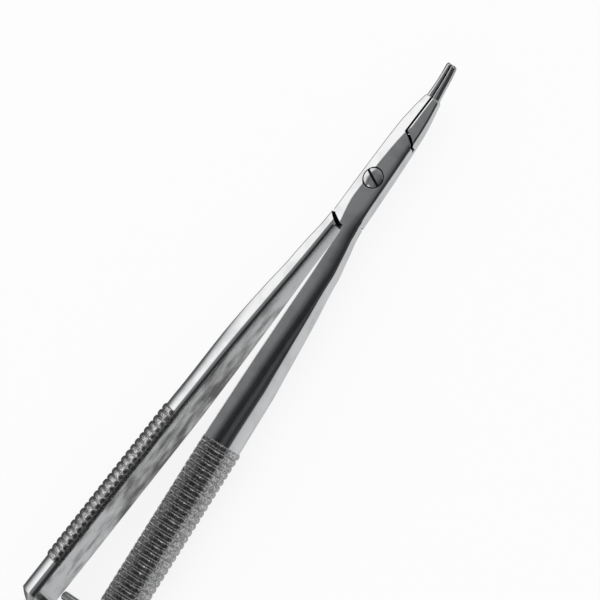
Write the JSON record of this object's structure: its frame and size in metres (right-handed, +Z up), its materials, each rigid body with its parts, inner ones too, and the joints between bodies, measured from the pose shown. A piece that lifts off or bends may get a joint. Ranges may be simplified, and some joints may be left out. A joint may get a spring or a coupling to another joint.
{
  "type": "surgical needle holder",
  "caption": "Fine spring-handled needle holder with half-round beaded grips, a screwed lap joint, narrow upturned jaws, a stop pin and a catch, lying flat.",
  "frame": {"origin": "middle of the bounding box at its lowest level, on the surface that the tool lies on", "axes": "+X along the tool to the jaw tips, +Y towards the left handle, +Z up through the screw's head"},
  "size_m": [0.14, 0.0186, 0.009],
  "materials": {
    "polished_steel": "polished stainless steel, with satin inner flats and fine handling marks",
    "screw_steel": "turned and polished stainless steel",
    "spring_steel": "ground and polished spring steel"
  },
  "bodies": {
    "left_half": {"lower_half": "polished_steel", "pivot_screw": "screw_steel", "keeper": "screw_steel"},
    "right_half": {"upper_half": "polished_steel", "stop_pin": "screw_steel"},
    "left_blade": {"spring_blade_left": "spring_steel"},
    "right_blade": {"spring_blade_right": "spring_steel", "tail_pin": "screw_steel"},
    "catch": {"catch_leaf": "spring_steel"}
  },
  "joints": [
    {"name": "pivot", "type": "hinge", "parent": "left_half", "child": "right_half", "pos_m": [0.0479, 0, 0.0045], "axis": [0, 0, 1], "range_deg": [-0.35, 6.5], "stiffness_Nm_per_rad": 0.02},
    {"name": "left_blade_bend", "type": "hinge", "parent": "left_half", "child": "left_blade", "pos_m": [-0.04154, 0.00586, 0.0045], "axis": [0, 0, 1], "range_deg": [-0.79, 14.33]},
    {"name": "right_blade_bend", "type": "hinge", "parent": "right_half", "child": "right_blade", "pos_m": [-0.04154, -0.00586, 0.0045], "axis": [0, 0, 1], "range_deg": [-14.33, 0.79]},
    {"name": "catch_bend", "type": "hinge", "parent": "right_half", "child": "catch", "pos_m": [-0.0394, -0.00523, 0.0045], "axis": [0, 0, -1], "range_deg": [0, 7], "stiffness_Nm_per_rad": 0.001}
  ],
  "couplings": [
    {"joint": "left_blade_bend", "follows": "pivot", "ratio": 2.1872},
    {"joint": "right_blade_bend", "follows": "pivot", "ratio": -2.1872}
  ]
}
